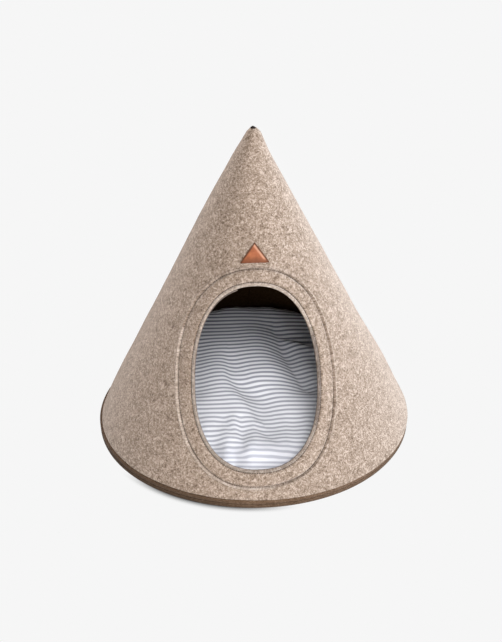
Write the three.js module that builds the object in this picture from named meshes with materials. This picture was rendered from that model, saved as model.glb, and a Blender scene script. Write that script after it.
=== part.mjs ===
// Dog teepee bed: a felt cone with an oval doorway on a round felt base, a filled
// ticking cushion inside and a leather triangle above the door.
// Millimetres, +Z up, the door faces -Y, the origin is on the floor under the apex.

import * as THREE from 'three';
import { mergeVertices } from 'three/addons/utils/BufferGeometryUtils.js';

// Driving dimensions

const gap = 0.3;
const baseDisc = { radius: 260.5, thick: 6.8, edge: 2.2 };
const hemRing = { radius: 260.5, innerRadius: 250, thick: 6.9, edge: 2.4 };
const feltWall = { footRadius: 260, apexHeight: 522.8, topRadius: 8.2, thick: 4.5 };
const door = { centre: 386, halfWidth: 97, halfHeight: 137, squareness: 2.2, lip: 1.3 };
const stitchRow = { offsets: [6, 28], halfWidth: 1.6, depth: 1.3 };
const facing = { thick: 3, reach: 35 };
const leather = { width: 42, height: 30, foot: 213.5, thick: 2, cornerCut: 4.2 };
const tipPlug = { seat: 495, neck: 1.5, bore: 3.5, rim: 507, pointRadius: 0.8, height: 513 };
const axisLean = 4.3;
const apexLean = { from: 462, to: 505, shift: 3 };
const pad = {
  footRadius: 212, footEase: 9, sideRadius: 235, sideHeight: 22, sideShares: [0.3, 0.6],
  shoulder: 9, shoulderDrop: 3, middle: 75, tilt: 0.1, sideTilt: -0.03, crown: 3, clear: 2.5,
};

// Gentle swells of the felt: where on the cone, how far out, and how wide.
const swellTable = [
  // turn: degrees from the door towards +X, height and reach in mm
  { turn: 88, height: 95, out: 3.3, turnReach: 42, heightReach: 60 },
  { turn: -92, height: 0, out: -3.2, turnReach: 60, heightReach: 34 },
  { turn: -92, height: 375, out: 1.2, turnReach: 45, heightReach: 60 },
  { turn: 172, height: 230, out: -1.5, turnReach: 60, heightReach: 110 },
];

// Creases of the pad's top, seen from above: from (x0, y0) to (x1, y1), sinking
// by drop0 to drop1 (a ridge has a negative drop), each with its half-width.
// Rows of one fold follow each other.
const creaseTable = [
  { fold: 'right', x0: 43, y0: 130, x1: 56, y1: 58, drop0: 3, drop1: 9, half: 18 },
  { fold: 'right', x0: 56, y0: 58, x1: 85, y1: -38, drop0: 9, drop1: 7, half: 18 },
  { fold: 'left', x0: -34, y0: 46, x1: -20, y1: -28, drop0: 3, drop1: 9, half: 18 },
  { fold: 'left', x0: -20, y0: -28, x1: 12, y1: -66, drop0: 9, drop1: 8, half: 18 },
  { fold: 'left', x0: 12, y0: -66, x1: 27, y1: -141, drop0: 8, drop1: 6, half: 18 },
  { fold: 'crest', x0: 8, y0: 110, x1: 30, y1: 8, drop0: -3, drop1: -4, half: 26 },
  { fold: 'swell', x0: -58, y0: 20, x1: -22, y1: -85, drop0: -3, drop1: -3, half: 22 },
  { fold: 'pucker', x0: -24, y0: -138, x1: -22, y1: -162, drop0: 3, drop1: 3, half: 11 },
  { fold: 'frontRoll', x0: -40, y0: -182, x1: 60, y1: -180, drop0: -4, drop1: -4, half: 30 },
  { fold: 'leftRim', x0: -120, y0: 60, x1: -170, y1: -60, drop0: 4, drop1: 6, half: 26 },
  { fold: 'rightRim', x0: 135, y0: 90, x1: 170, y1: -20, drop0: 4, drop1: 5, half: 26 },
];

// How finely the round shapes are stepped
const steps = {
  front: 32, back: 34, side: 13, round: 72, pad: 56, settle: 6,
  facing: 4, corner: 3, edge: 4, tip: 20,
};
const doorPatch = { halfTurn: THREE.MathUtils.degToRad(72), top: 180, shares: [0, 0.3, 0.65, 1] };
const capSlants = [32, 60, 105];
const padShares = [0, 0.08, 0.16, 0.24, 0.32, 0.4, 0.48, 0.56, 0.64, 0.72, 0.8, 0.88, 0.95];
const labelShares = [0, 0.5, 1];

// Worked-out sizes

const hemFoot = baseDisc.thick + gap;
const wallFoot = hemFoot + hemRing.thick + gap;
const halfAngle = Math.atan2(feltWall.footRadius, feltWall.apexHeight - wallFoot);
const sinHalf = Math.sin(halfAngle);
const cosHalf = Math.cos(halfAngle);
const footSlant = feltWall.footRadius / sinHalf;
const topSlant = feltWall.topRadius / sinHalf;
const innerFootSlant = footSlant - feltWall.thick * Math.tan(halfAngle);
const facingOuter = feltWall.thick + gap;
const facingInner = facingOuter + facing.thick;

const { smoothstep, lerp, degToRad } = THREE.MathUtils;

function spaced(from, to, count) {
  return Array.from({ length: count + 1 }, (_, i) => lerp(from, to, i / count));
}

// A skin gathers strips of quads between rows of points. Rows run with the outside
// on the viewer's side, so every strip of a closed skin faces outwards.
class Skin {
  corners = [];

  strip(rowA, rowB, closed = false) {
    const last = closed ? rowA.length : rowA.length - 1;
    for (let i = 0; i < last; i += 1) {
      const j = (i + 1) % rowA.length;
      this.corners.push(rowA[i], rowB[i], rowB[j], rowA[i], rowB[j], rowA[j]);
    }
  }

  strips(rows, closed = false) {
    for (let k = 0; k + 1 < rows.length; k += 1) this.strip(rows[k], rows[k + 1], closed);
  }

  geometry() {
    const soup = new THREE.BufferGeometry().setFromPoints(this.corners);
    const merged = mergeVertices(soup, 1e-3);
    const index = [];
    for (let i = 0; i < merged.index.count; i += 3) {
      const [a, b, c] = [0, 1, 2].map((k) => merged.index.getX(i + k));
      if (a !== b && b !== c && c !== a) index.push(a, b, c);
    }
    merged.setIndex(index);
    merged.computeVertexNormals();
    return merged;
  }
}

// The rolled felt: a flat sector with its apex at (0, 0) becomes a leaning cone

function lean(point) {
  point.x += axisLean * (point.z / feltWall.apexHeight);
  point.x += apexLean.shift * smoothstep(point.z, apexLean.from, apexLean.to);
  return point;
}

function swell(turn, height) {
  let out = 0;
  for (const row of swellTable) {
    const away = Math.atan2(Math.sin(turn - degToRad(row.turn)), Math.cos(turn - degToRad(row.turn)));
    const across = away / degToRad(row.turnReach);
    const along = (height - row.height) / row.heightReach;
    out += row.out * Math.exp(-across * across - along * along);
  }
  return out;
}

// A point on the cone, by its turn from the door, its slant from the apex and its depth inwards.
function onCone(turn, slant, depth) {
  const height = feltWall.apexHeight - slant * cosHalf - depth * sinHalf;
  const radius = slant * sinHalf - depth * cosHalf + swell(turn, feltWall.apexHeight - slant * cosHalf);
  return lean(new THREE.Vector3(radius * Math.sin(turn), -radius * Math.cos(turn), height));
}

function flatOf(turn, slant) {
  const spread = turn * sinHalf;
  return new THREE.Vector2(slant * Math.sin(spread), -slant * Math.cos(spread));
}

function rolled(flat, depth) {
  return onCone(Math.atan2(flat.x, -flat.y) / sinHalf, flat.length(), depth);
}

// The doorway: an oval on the flat felt, with rings at any offset from its edge

const doorCentre = new THREE.Vector2(0, -door.centre);
const frontTurns = spaced(-doorPatch.halfTurn, doorPatch.halfTurn, steps.front);
const backTurns = spaced(doorPatch.halfTurn, 2 * Math.PI - doorPatch.halfTurn, steps.back);
const allTurns = [...frontTurns, ...backTurns.slice(1, -1)];

// The patch of felt round the door: up its right side, back along its top, down and along its foot.
function patchBorder(foot) {
  const rise = spaced(foot, doorPatch.top, steps.side);
  const fall = rise.slice().reverse();
  return [
    ...rise.slice(0, -1).map((slant) => flatOf(doorPatch.halfTurn, slant)),
    ...frontTurns.slice(1).reverse().map((turn) => flatOf(turn, doorPatch.top)),
    ...fall.slice(0, -1).map((slant) => flatOf(-doorPatch.halfTurn, slant)),
    ...frontTurns.slice(0, -1).map((turn) => flatOf(turn, foot)),
  ];
}

const border = patchBorder(footSlant);
const facingOffsets = spaced(0, facing.reach, steps.facing);

function doorPoint(toward, offset) {
  const { halfWidth: a, halfHeight: b, squareness: m } = door;
  const way = toward.clone().sub(doorCentre).normalize();
  const size = (Math.abs(way.x / a) ** m + Math.abs(way.y / b) ** m) ** (-1 / m);
  const edge = way.multiplyScalar(size);
  const normal = new THREE.Vector2(
    Math.sign(edge.x) * Math.abs(edge.x / a) ** (m - 1) / a,
    Math.sign(edge.y) * Math.abs(edge.y / b) ** (m - 1) / b,
  ).normalize();
  return edge.addScaledVector(normal, offset).add(doorCentre);
}

function doorRing(offset, depth) {
  return border.map((toward) => rolled(doorPoint(toward, offset), depth));
}

// Rings from the facing's outer edge to the border of the patch
function patchRing(share, depth, outline) {
  return border.map((toward, i) => rolled(doorPoint(toward, facing.reach).lerp(outline[i], share), depth));
}

function coneRow(turns, slant, depth) {
  return turns.map((turn) => onCone(turn, slant, depth));
}

function coneWall() {
  const skin = new Skin();
  const inside = feltWall.thick;
  const { shares } = doorPatch;

  // The door patch, outside and inside, with the two pressed stitch rows
  const outerRings = [doorRing(0, door.lip), doorRing(door.lip, 0)];
  for (const offset of stitchRow.offsets) {
    outerRings.push(doorRing(offset - stitchRow.halfWidth, 0));
    outerRings.push(doorRing(offset, stitchRow.depth));
    outerRings.push(doorRing(offset + stitchRow.halfWidth, 0));
  }
  outerRings.push(...shares.map((share) => patchRing(share, 0, border)));
  const innerBorder = patchBorder(innerFootSlant);
  const innerRings = facingOffsets.slice(0, -1).map((offset) => doorRing(offset, inside));
  innerRings.push(...shares.map((share) => patchRing(share, inside, innerBorder)));
  skin.strips(outerRings, true);
  skin.strips(innerRings.slice().reverse(), true);
  skin.strip(innerRings[0], outerRings[0], true);

  // The rest of the cone, from the foot up and then all round to the apex
  const sideRows = (foot) => spaced(foot, doorPatch.top, steps.side).reverse();
  const rise = [topSlant, ...capSlants, doorPatch.top];
  skin.strips(sideRows(footSlant).map((slant) => coneRow(backTurns, slant, 0)));
  skin.strips(sideRows(innerFootSlant).map((slant) => coneRow(backTurns, slant, inside)).reverse());
  skin.strips(rise.map((slant) => coneRow(allTurns, slant, 0)), true);
  skin.strips(rise.map((slant) => coneRow(allTurns, slant, inside)).reverse(), true);

  // The cut edges at the foot and at the apex
  skin.strip(coneRow(allTurns, footSlant, 0), coneRow(allTurns, innerFootSlant, inside), true);
  skin.strip(coneRow(allTurns, topSlant, inside), coneRow(allTurns, topSlant, 0), true);
  return skin.geometry();
}

function doorFacing() {
  const skin = new Skin();
  const outerRings = facingOffsets.map((offset) => doorRing(offset, facingOuter));
  const innerRings = facingOffsets.map((offset) => doorRing(offset, facingInner));
  skin.strips([...outerRings, ...innerRings.reverse(), outerRings[0]], true);
  return skin.geometry();
}

// The leather triangle, rounded at its corners and bent round the felt
function label() {
  const skin = new Skin();
  const middle = leather.foot - leather.height / 3;
  const tips = [
    new THREE.Vector2(leather.width / 2, -leather.foot),
    new THREE.Vector2(0, leather.height - leather.foot),
    new THREE.Vector2(-leather.width / 2, -leather.foot),
  ];
  const outline = [];
  tips.forEach((tip, i) => {
    const next = tips[(i + 1) % 3];
    const before = tips[(i + 2) % 3];
    const arrive = tip.clone().lerp(before, leather.cornerCut / tip.distanceTo(before));
    const leave = tip.clone().lerp(next, leather.cornerCut / tip.distanceTo(next));
    const nextArrive = next.clone().lerp(tip, leather.cornerCut / next.distanceTo(tip));
    outline.push(...new THREE.QuadraticBezierCurve(arrive, tip, leave).getPoints(steps.corner).slice(0, -1));
    outline.push(...new THREE.LineCurve(leave, nextArrive).getPoints(steps.edge).slice(0, -1));
  });
  const centre = new THREE.Vector2(0, -middle);
  const ring = (share, depth) => outline.map((point) => rolled(centre.clone().lerp(point, share), depth));
  const top = labelShares.map((share) => ring(share, -gap - leather.thick));
  const under = labelShares.map((share) => ring(share, -gap));
  skin.strips([...top, ...under.reverse()], true);
  return skin.geometry();
}

// The pad: flat where it lies on the base, drawn in at its sides, crowned and creased on top

function padRoom(height) {
  const wallRadius = (feltWall.apexHeight - height) * Math.tan(halfAngle);
  return wallRadius - facingInner / cosHalf - pad.clear;
}

function creaseDrop(x, y) {
  const deepest = {};
  for (const row of creaseTable) {
    const along = new THREE.Vector2(row.x1 - row.x0, row.y1 - row.y0);
    const from = new THREE.Vector2(x - row.x0, y - row.y0);
    const share = THREE.MathUtils.clamp(from.dot(along) / along.lengthSq(), 0, 1);
    const away = from.addScaledVector(along, -share).length() / row.half;
    const drop = lerp(row.drop0, row.drop1, share) * Math.exp(-away * away);
    if (Math.abs(drop) > Math.abs(deepest[row.fold] ?? 0)) deepest[row.fold] = drop;
  }
  return Object.values(deepest).reduce((sum, drop) => sum + drop, 0);
}

function padTop(turn, radius) {
  const x = radius * Math.sin(turn);
  const y = -radius * Math.cos(turn);
  const round = 1 - (radius / pad.sideRadius) ** 2;
  const slope = pad.tilt * y + pad.sideTilt * x;
  return new THREE.Vector3(x, y, pad.middle + slope + pad.crown * round - creaseDrop(x, y));
}

function cushion() {
  const skin = new Skin();
  const floor = baseDisc.thick + gap;
  const belly = floor + pad.sideHeight;
  const [footShare, upperShare] = pad.sideShares;
  const turns = spaced(0, 2 * Math.PI, steps.pad).slice(0, -1);
  const columns = turns.map((turn) => {
    const way = new THREE.Vector3(Math.sin(turn), -Math.cos(turn), 0);
    const at = (radius, height) => way.clone().multiplyScalar(radius).setZ(height);
    let reach = pad.footRadius;
    for (let i = 0; i < steps.settle; i += 1) reach = padRoom(padTop(turn, reach).z) - pad.shoulder;
    const rim = padTop(turn, reach).z - pad.shoulderDrop;
    const under = rim - pad.shoulder;
    const upper = lerp(belly, rim, upperShare);
    return [
      ...padShares.map((share) => padTop(turn, reach * share)),
      at(reach, rim),
      at(padRoom(under) - pad.clear / 2, under),
      at(Math.min(pad.sideRadius, padRoom(upper)), upper),
      at(pad.sideRadius, belly),
      at(pad.sideRadius - pad.footEase, lerp(floor, belly, footShare)),
      at(pad.footRadius, floor),
      at(pad.footRadius / 2, floor),
      at(0, floor),
    ];
  });
  const rows = columns[0].map((_, k) => columns.map((column) => column[k]));
  skin.strips(rows, true);
  return skin.geometry();
}

// Turned pieces: closed profiles of radius and height

function turned(profile, sides = steps.round) {
  const geometry = new THREE.LatheGeometry(profile.map(([r, z]) => new THREE.Vector2(r, z)), sides);
  return geometry.rotateX(Math.PI / 2);
}

function baseProfile() {
  const { radius, thick, edge } = baseDisc;
  return [
    [0, 0], [radius - edge, 0], [radius, edge],
    [radius, thick - edge], [radius - edge, thick], [0, thick],
  ];
}

function hemProfile() {
  const { radius, innerRadius, thick, edge } = hemRing;
  const top = hemFoot + thick;
  return [
    [innerRadius, hemFoot], [radius - edge, hemFoot], [radius, hemFoot + edge],
    [radius, top - edge], [radius - edge, top], [innerRadius, top], [innerRadius, hemFoot],
  ];
}

// The plug fills the inside of the cone's point and stands out of its top hole to a blunt point.
function apexTip() {
  const room = (height) => (feltWall.apexHeight - height) * Math.tan(halfAngle) - feltWall.thick / cosHalf;
  const { seat, neck, bore, rim, pointRadius, height } = tipPlug;
  const hole = feltWall.apexHeight - topSlant * cosHalf - feltWall.thick * sinHalf;
  const under = hole - neck;
  const slack = 2 * gap;
  const geometry = turned([
    [0, seat], [room(seat) - slack, seat], [room(under) - slack, under], [bore, hole],
    [bore, rim], [pointRadius, height - gap], [0, height],
  ], steps.tip);
  const places = geometry.attributes.position;
  for (let i = 0; i < places.count; i += 1) {
    const point = lean(new THREE.Vector3().fromBufferAttribute(places, i));
    places.setXYZ(i, point.x, point.y, point.z);
  }
  geometry.computeVertexNormals();
  return geometry;
}

// Finishes

const beigeFelt = new THREE.MeshStandardMaterial({ color: 0xb7a18d, roughness: 0.95, metalness: 0 });
const brownFelt = new THREE.MeshStandardMaterial({ color: 0x5b4a3f, roughness: 0.95, metalness: 0 });
const ticking = new THREE.MeshStandardMaterial({ color: 0xcfd1d6, roughness: 0.9, metalness: 0 });
const tanLeather = new THREE.MeshStandardMaterial({ color: 0xa9662f, roughness: 0.6, metalness: 0 });

// The bed

const teepee = new THREE.Group();
const pieces = [
  ['base_disc', turned(baseProfile()), brownFelt],
  ['hem_ring', turned(hemProfile()), brownFelt],
  ['cone_wall', coneWall(), beigeFelt],
  ['door_facing', doorFacing(), beigeFelt],
  ['cushion', cushion(), ticking],
  ['label', label(), tanLeather],
  ['apex_tip', apexTip(), brownFelt],
];
for (const [name, geometry, material] of pieces) {
  const mesh = new THREE.Mesh(geometry, material);
  mesh.name = name;
  teepee.add(mesh);
}

export default teepee;
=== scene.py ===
# Dog teepee bed: a rolled felt cone with a stitched oval doorway, a striped cushion inside,
# a brown felt hem and base, and a bare leather triangle above the door.
# Metres, +Z up, the door faces -Y. Flat patterns have the cone's apex at (0, 0).

import math

import bmesh
import bpy
import numpy as np
from mathutils import Matrix, Vector, kdtree, noise


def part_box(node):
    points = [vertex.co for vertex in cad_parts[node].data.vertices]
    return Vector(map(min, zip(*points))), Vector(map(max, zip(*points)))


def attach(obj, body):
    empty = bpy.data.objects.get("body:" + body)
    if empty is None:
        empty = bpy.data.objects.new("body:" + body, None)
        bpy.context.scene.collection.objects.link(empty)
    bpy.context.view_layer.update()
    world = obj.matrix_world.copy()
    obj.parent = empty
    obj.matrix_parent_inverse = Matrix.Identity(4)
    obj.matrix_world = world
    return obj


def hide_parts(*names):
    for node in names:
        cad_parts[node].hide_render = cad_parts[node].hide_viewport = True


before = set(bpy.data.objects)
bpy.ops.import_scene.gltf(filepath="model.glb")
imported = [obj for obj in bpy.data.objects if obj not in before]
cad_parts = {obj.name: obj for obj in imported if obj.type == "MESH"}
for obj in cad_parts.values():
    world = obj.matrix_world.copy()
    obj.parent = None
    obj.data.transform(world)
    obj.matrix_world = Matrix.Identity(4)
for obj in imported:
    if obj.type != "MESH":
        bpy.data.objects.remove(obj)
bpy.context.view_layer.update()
print("frame loaded:", ", ".join(sorted(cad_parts)))


# Camera, at the photo's place

camera = dict(
    distance=1.7, elevation=29.41, azimuth=-1.45, roll=-1.08,    # metres and degrees
    focalPixels=1042.2, framePixels=642, sensor=36, clipEnd=60,
    aimAcross=-0.0011, aimHeight=0.1792,
)


def wayTo(azimuth, elevation):
    # the way out to the camera or a lamp, in degrees from the door towards +X and upwards
    turn, lift = math.radians(azimuth), math.radians(elevation)
    return Vector((math.sin(turn) * math.cos(lift), -math.cos(turn) * math.cos(lift), math.sin(lift)))


def addCamera():
    azimuth, roll = math.radians(camera["azimuth"]), math.radians(camera["roll"])
    across = Vector((math.cos(azimuth), math.sin(azimuth), 0))
    back = wayTo(camera["azimuth"], camera["elevation"])
    up = back.cross(across)
    right = across * math.cos(roll) + up * math.sin(roll)
    top = up * math.cos(roll) - across * math.sin(roll)
    aim = across * camera["aimAcross"] + Vector((0, 0, camera["aimHeight"]))
    turn = Matrix((right, top, back)).transposed()
    bpy.ops.object.camera_add(location=aim + back * camera["distance"], rotation=turn.to_euler())
    made = bpy.context.object
    made.data.sensor_width = camera["sensor"]
    made.data.lens = camera["focalPixels"] / camera["framePixels"] * camera["sensor"]
    made.data.clip_end = camera["clipEnd"]
    bpy.context.scene.camera = made


bpy.ops.object.select_all(action="DESELECT")
addCamera()
print("camera placed")


# Working helpers

def pick(piece):
    bpy.ops.object.select_all(action="DESELECT")
    piece.select_set(True)
    bpy.context.view_layer.objects.active = piece


def applyModifier(piece, kind, **settings):
    pick(piece)
    modifier = piece.modifiers.new(kind.title(), kind)
    for key, value in settings.items():
        setattr(modifier, key, value)
    bpy.ops.object.modifier_apply(modifier=modifier.name)


def editAll(piece, mode="VERT"):
    pick(piece)
    bpy.ops.object.mode_set(mode="EDIT")
    bpy.ops.mesh.select_mode(type=mode)
    bpy.ops.mesh.select_all(action="SELECT")


def editDone():
    bpy.ops.object.mode_set(mode="OBJECT")


def faceUp(piece):
    # a flat sheet's normals are made to agree, and then to look up
    editAll(piece, "FACE")
    bpy.ops.mesh.normals_make_consistent(inside=False)
    editDone()
    if piece.data.polygons[0].normal.z < 0:
        editAll(piece, "FACE")
        bpy.ops.mesh.flip_normals()
        editDone()


def softenEdges(piece, width, segments, sharp=60):
    editAll(piece, "EDGE")
    bpy.ops.mesh.select_all(action="DESELECT")
    bpy.ops.mesh.edges_select_sharp(sharpness=math.radians(sharp))
    bpy.ops.mesh.bevel(offset=width, segments=segments, profile=0.5)
    editDone()


def shadeSmooth(piece, angle=40):
    pick(piece)
    bpy.ops.object.shade_smooth_by_angle(angle=math.radians(angle))


def newPiece(name, points, faces):
    mesh = bpy.data.meshes.new(name)
    mesh.from_pydata(points, [], faces)
    piece = bpy.data.objects.new(name, mesh)
    bpy.context.scene.collection.objects.link(piece)
    return piece


def placesOf(piece):
    places = np.empty(len(piece.data.vertices) * 3)
    piece.data.vertices.foreach_get("co", places)
    return places.reshape(-1, 3)


def setPlaces(piece, places):
    piece.data.vertices.foreach_set("co", places.ravel())
    piece.data.update()


def setFlatMap(piece, flat):
    layer = piece.data.uv_layers.new(name="flat")
    corners = np.empty(len(piece.data.loops), int)
    piece.data.loops.foreach_get("vertex_index", corners)
    layer.data.foreach_set("uv", np.ascontiguousarray(flat[corners, :2]).ravel())


def smoothStep(value, start, end):
    share = np.clip((value - start) / (end - start), 0, 1)
    return share * share * (3 - 2 * share)


def unevenness(places, turns):
    return np.array([noise.noise(Vector(place) * turns) for place in places])


def reachAlong(line):
    # how far each point lies along a line of points
    return np.concatenate([[0], np.cumsum(np.linalg.norm(np.diff(line, axis=0), axis=1))])


def pointsAt(line, reach, wanted):
    return np.column_stack([np.interp(wanted, reach, line[:, axis]) for axis in (0, 1)])


def finishPiece(piece, materials, slot, *nodes):
    which = np.zeros(len(piece.data.polygons), int)
    piece.data.polygons.foreach_get("material_index", which)
    piece.data.materials.clear()
    for material in materials:
        piece.data.materials.append(material)
    piece.data.polygons.foreach_set("material_index", which)
    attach(piece, "root")
    if nodes:
        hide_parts(*nodes)


# The rolled felt cone: a flat sector turns into a slightly leaning, uneven cone

cone = dict(
    footRadius=0.260, apexHeight=0.5228, topRadius=0.0075, thick=0.0045,
    lean=0.0043, tipFrom=0.462, tipTo=0.505, tipShift=0.003,
)
# turn and turnReach in degrees, the rest in metres; the hem and base are drawn in with the wall's foot
footDraw = dict(turn=-15, height=0, out=-0.0055, turnReach=42, heightReach=0.090)
swells = [
    dict(turn=88, height=0.095, out=0.0033, turnReach=42, heightReach=0.060),
    dict(turn=-92, height=0.0, out=-0.0032, turnReach=60, heightReach=0.034),
    dict(turn=-92, height=0.375, out=0.0012, turnReach=45, heightReach=0.060),
    dict(turn=172, height=0.230, out=-0.0015, turnReach=60, heightReach=0.110),
    dict(turn=-92, height=0.470, out=-0.0020, turnReach=50, heightReach=0.050),
    dict(turn=45, height=0.0, out=0.0030, turnReach=35, heightReach=0.050),
    footDraw,
]
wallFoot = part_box("cone_wall")[0].z
halfAngle = math.atan2(cone["footRadius"], cone["apexHeight"] - wallFoot)
sinHalf, cosHalf = math.sin(halfAngle), math.cos(halfAngle)
footSlant = cone["footRadius"] / sinHalf
topSlant = cone["topRadius"] / sinHalf


def flatPoints(turn, slant):
    spread = np.asarray(turn) * sinHalf
    return np.stack([slant * np.sin(spread), -slant * np.cos(spread)], -1)


def fromBackSeam(flat):
    spread = np.abs(np.arctan2(flat[:, 0], -flat[:, 1]))
    return np.hypot(flat[:, 0], flat[:, 1]) * (math.pi * sinHalf - spread)


def swellAt(turn, height):
    out = np.zeros_like(turn)
    for row in swells:
        away = turn - math.radians(row["turn"])
        away = np.arctan2(np.sin(away), np.cos(away)) / math.radians(row["turnReach"])
        along = (height - row["height"]) / row["heightReach"]
        out += row["out"] * np.exp(-away ** 2 - along ** 2)
    return out


def leaned(places):
    height = places[:, 2]
    shift = cone["lean"] * height / cone["apexHeight"]
    shift = shift + cone["tipShift"] * smoothStep(height, cone["tipFrom"], cone["tipTo"])
    return np.column_stack([places[:, 0] + shift, places[:, 1], height])


def rollUp(flat, rise):
    slant = np.hypot(flat[:, 0], flat[:, 1])
    turn = np.arctan2(flat[:, 0], -flat[:, 1]) / sinHalf
    face = cone["apexHeight"] - slant * cosHalf
    radius = slant * sinHalf + rise * cosHalf + swellAt(turn, face)
    return leaned(np.column_stack([radius * np.sin(turn), -radius * np.cos(turn), face + rise * sinHalf]))


# The doorway: an oval on the flat felt

door = dict(
    across=-0.0004, centre=0.386, halfWidth=0.0975, halfHeight=0.1377, outlinePoints=4000,
    squareTop=2.2, squareFoot=2.36,    # the oval is fuller at its foot
)


def doorOutline():
    angle = np.linspace(0, 2 * math.pi, door["outlinePoints"], endpoint=False) - math.pi / 2
    power = 2 / np.where(np.sin(angle) > 0, door["squareTop"], door["squareFoot"])
    x = door["halfWidth"] * np.sign(np.cos(angle)) * np.abs(np.cos(angle)) ** power
    y = door["halfHeight"] * np.sign(np.sin(angle)) * np.abs(np.sin(angle)) ** power
    return np.column_stack([x + door["across"], y - door["centre"]])


def evenDoorPoints(count, start=0.0, spare=0.0):
    # points evenly spaced along the door's edge from its foot, with their outward directions
    loop = np.vstack([doorLine, doorLine[:1]])
    reach = reachAlong(loop)
    edge = pointsAt(loop, reach, (start + np.linspace(spare, reach[-1] - spare, count)) % reach[-1])
    slope = (edge - [door["across"], -door["centre"]]) / [door["halfWidth"], door["halfHeight"]]
    power = np.where(slope[:, 1:] > 0, door["squareTop"], door["squareFoot"]) - 1
    way = np.sign(slope) * np.abs(slope) ** power
    way = way / [door["halfWidth"], door["halfHeight"]]
    return edge, way / np.linalg.norm(way, axis=1)[:, None], reach[-1]


doorLine = doorOutline()
doorTree = kdtree.KDTree(len(doorLine))
for index, (x, y) in enumerate(doorLine):
    doorTree.insert((x, y, 0), index)
doorTree.balance()


def doorOffsets(flat):
    # distance from the door's edge, and which way it is measured
    found = [doorTree.find((x, y, 0)) for x, y in flat]
    offset = np.array([one[2] for one in found])
    way = np.array([(x - one[0].x, y - one[0].y) for (x, y), one in zip(flat, found)])
    return offset, way / np.maximum(offset, 1e-6)[:, None]


def patternPiece(name, grids, thick):
    # sews grids of flat points into one sheet, maps it flat and gives it its thickness downwards
    points, faces = [], []
    for grid in grids:
        rows, columns = grid.shape[:2]
        start = len(points)
        points.extend((x, y, 0) for x, y in grid.reshape(-1, 2))
        for row in range(rows - 1):
            for column in range(columns - 1):
                corner = start + row * columns + column
                faces.append((corner, corner + 1, corner + columns + 1, corner + columns))
    piece = newPiece(name, points, faces)
    editAll(piece)
    bpy.ops.mesh.remove_doubles(threshold=1e-6)
    editDone()
    faceUp(piece)
    flatArea = sum(face.area for face in piece.data.polygons)
    setFlatMap(piece, placesOf(piece))
    applyModifier(piece, "SOLIDIFY", thickness=thick, offset=-1)
    return piece, flatArea


# The felt wall: cut flat with its doorway, pressed along the stitch rows, then rolled up

beigeFace, liningAndShadeFace, litTopFace, shadedCutFace, lipFace, highlightFace = range(6)    # in the order of the wall's finishes
feltWall = dict(
    name="felt_wall", doorPoints=300, sideTurn=72, capSlant=0.180, edge=0.0012, edgeSteps=3,
    doorRings=[0, 1.8, 2.6, 3.4, 4.2, 4.9, 5.4, 5.9, 6.4, 7, 7.8, 9.4, 11.5, 14.5, 18, 21, 23, 24.2, 25,
               25.6, 26.2, 26.8, 27.4, 28, 28.6, 29.2, 29.8, 30.4, 31, 31.6, 32.2, 32.9, 33.8, 35,
               36.5, 39, 43],    # millimetres from the door's edge
    patchShares=[0.1, 0.22, 0.36, 0.5, 0.64, 0.78, 0.9, 1],
    seamColumns=[10, 8, 6.6, 5.6, 5, 4.4, 3.4, 2.2, 0],    # millimetres from the back seam
    backColumns=34, capRows=[168, 152, 134, 116, 98, 82, 68, 56, 45, 36, 29, 25, 22, 19.5, 17.8],
    stitchRows=[dict(name="inner", at=5.9, atTop=5.9, inward=1.2, outward=1.2, depth=2.2, thread=0.00055),
                dict(name="outer", at=28.7, atTop=25.6, inward=1.5, outward=1.3, depth=3.2, thread=0.0005)],
    outerWanders=[    # degrees and millimetres
        dict(angle=160, out=3.4, sharp=14), dict(angle=283, out=-1.8, sharp=16),
        dict(angle=322, out=1.5, sharp=16), dict(angle=38, out=1.3, sharp=20),
    ],
    edgeBand=5.4, cutBand=0.4, lipUp=0.35, lipSide=0.95,    # where the finishes of the door's lip begin: a lighter copy on its top for painted light, a darker copy on its right side for painted shade
    liningAndShadeFrom=0.9, seamLiningAndShadeFrom=0.3,    # shares of the thickness
    rollDrop=1.4, rollReach=3.6, bandAt=17, bandHalf=8, bandRise=0.7,
    shoulderGap=2.4, shoulderHalf=1.5, shoulderRise=1.5,    # outside the outer row
    highlightBand=dict(angle=220, toward=0.5, near=0.5, far=3.2),    # painted highlight outside the outer row, on the shoulder that faces the light
    seamHalf=1.6, seamDepth=0.7, seamStitch=5, seamThread=0.0006,
    noseDrop=2.3, noseReach=9,    # the felt's face rounds in towards the tip
    footCutFrom=0.03, footCutTo=0.005,    # metres from the foot, which is cut level where the felt sinks
    waves=[(20, 0.0005), (55, 0.00018)],    # turns per metre and height of the felt's unevenness
)


def borderPoint(way):
    # where a line from the door's centre meets the border of the door's patch of felt
    centre = np.array([0, -door["centre"]])
    along = centre @ way
    spare = centre @ centre
    reach = [-along + math.sqrt(along ** 2 - spare + footSlant ** 2)]
    top = along ** 2 - spare + feltWall["capSlant"] ** 2
    if top > 0 and along < 0:
        reach.append(-along - math.sqrt(top))
    for side in (-1, 1):
        spread = side * math.radians(feltWall["sideTurn"]) * sinHalf
        line = np.array([math.sin(spread), -math.cos(spread)])
        share = -(centre[0] * line[1] - centre[1] * line[0]) / (way[0] * line[1] - way[1] * line[0] + 1e-12)
        if share > 0:
            reach.append(share)
    return centre + way * min(reach)


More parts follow.
